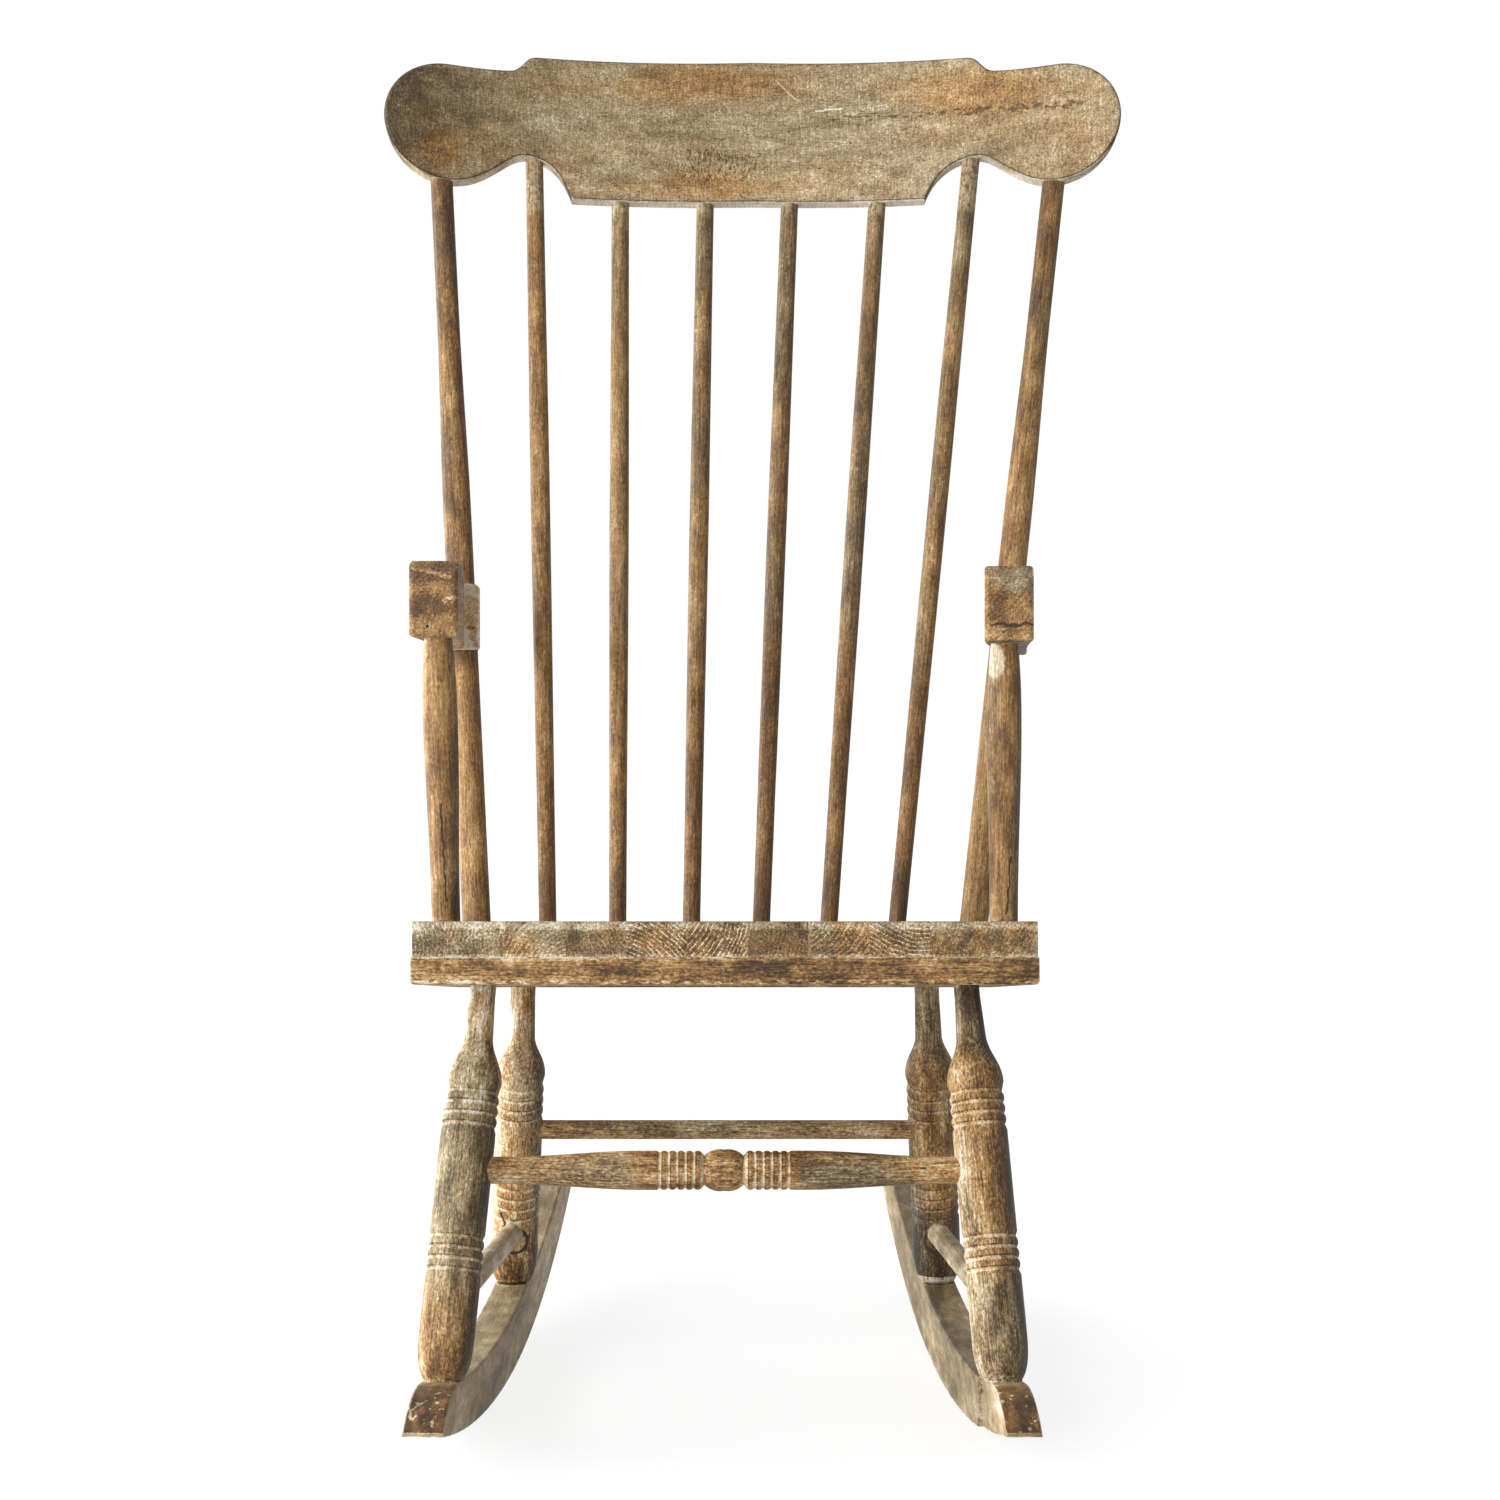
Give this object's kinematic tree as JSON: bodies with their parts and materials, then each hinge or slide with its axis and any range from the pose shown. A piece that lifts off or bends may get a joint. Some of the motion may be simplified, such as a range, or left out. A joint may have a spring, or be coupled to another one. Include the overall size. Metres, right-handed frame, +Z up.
{
  "type": "rocking chair",
  "caption": "Wooden armchair on rockers with turned legs, round spindles, a curved crest rail and a seat of glued staves.",
  "frame": {"origin": "on the floor, under the middle of the crest rail and midway between the rocker tips", "axes": "+Z up, the front of the chair faces -Y, +X to the right as seen from the front"},
  "size_m": [0.652, 0.9054, 1.1437],
  "materials": {
    "arm_wood": "weathered, worn stain with pale residue in the grooves",
    "back_wood": "weathered, worn stain with pale residue in the grooves",
    "batten_wood": "weathered, worn stain with pale residue in the grooves",
    "crest_wood": "weathered, worn stain with pale residue in the grooves",
    "leg_wood": "weathered, worn stain with pale residue in the grooves",
    "rocker_wood": "weathered, worn stain with pale residue in the grooves",
    "seat_wood": "weathered, worn stain with pale residue in the grooves",
    "steel": "rusted steel",
    "stretcher_wood": "weathered, worn stain with pale residue in the grooves",
    "stump_wood": "weathered, worn stain with pale residue in the grooves"
  },
  "bodies": {
    "root": {"arm_left": "arm_wood", "arm_nails": "steel", "arm_right": "arm_wood", "arm_stump_left": "stump_wood", "arm_stump_right": "stump_wood", "back_post_left": "back_wood", "back_post_right": "back_wood", "batten_front": "batten_wood", "batten_left": "batten_wood", "batten_rear": "batten_wood", "batten_right": "batten_wood", "batten_screws": "steel", "crest_rail": "crest_wood", "leg_front_left": "leg_wood", "leg_front_right": "leg_wood", "leg_rear_left": "leg_wood", "leg_rear_right": "leg_wood", "rocker_left": "rocker_wood", "rocker_right": "rocker_wood", "seat_stave_01": "seat_wood", "seat_stave_02": "seat_wood", "seat_stave_03": "seat_wood", "seat_stave_04": "seat_wood", "seat_stave_05": "seat_wood", "seat_stave_06": "seat_wood", "seat_stave_07": "seat_wood", "seat_stave_08": "seat_wood", "seat_stave_09": "seat_wood", "seat_stave_10": "seat_wood", "seat_stave_11": "seat_wood", "spindle_1": "back_wood", "spindle_2": "back_wood", "spindle_3": "back_wood", "spindle_4": "back_wood", "spindle_5": "back_wood", "spindle_6": "back_wood", "stretcher_front": "stretcher_wood", "stretcher_rear": "stretcher_wood", "stretcher_side_left": "stretcher_wood", "stretcher_side_right": "stretcher_wood"}
  },
  "joints": []
}
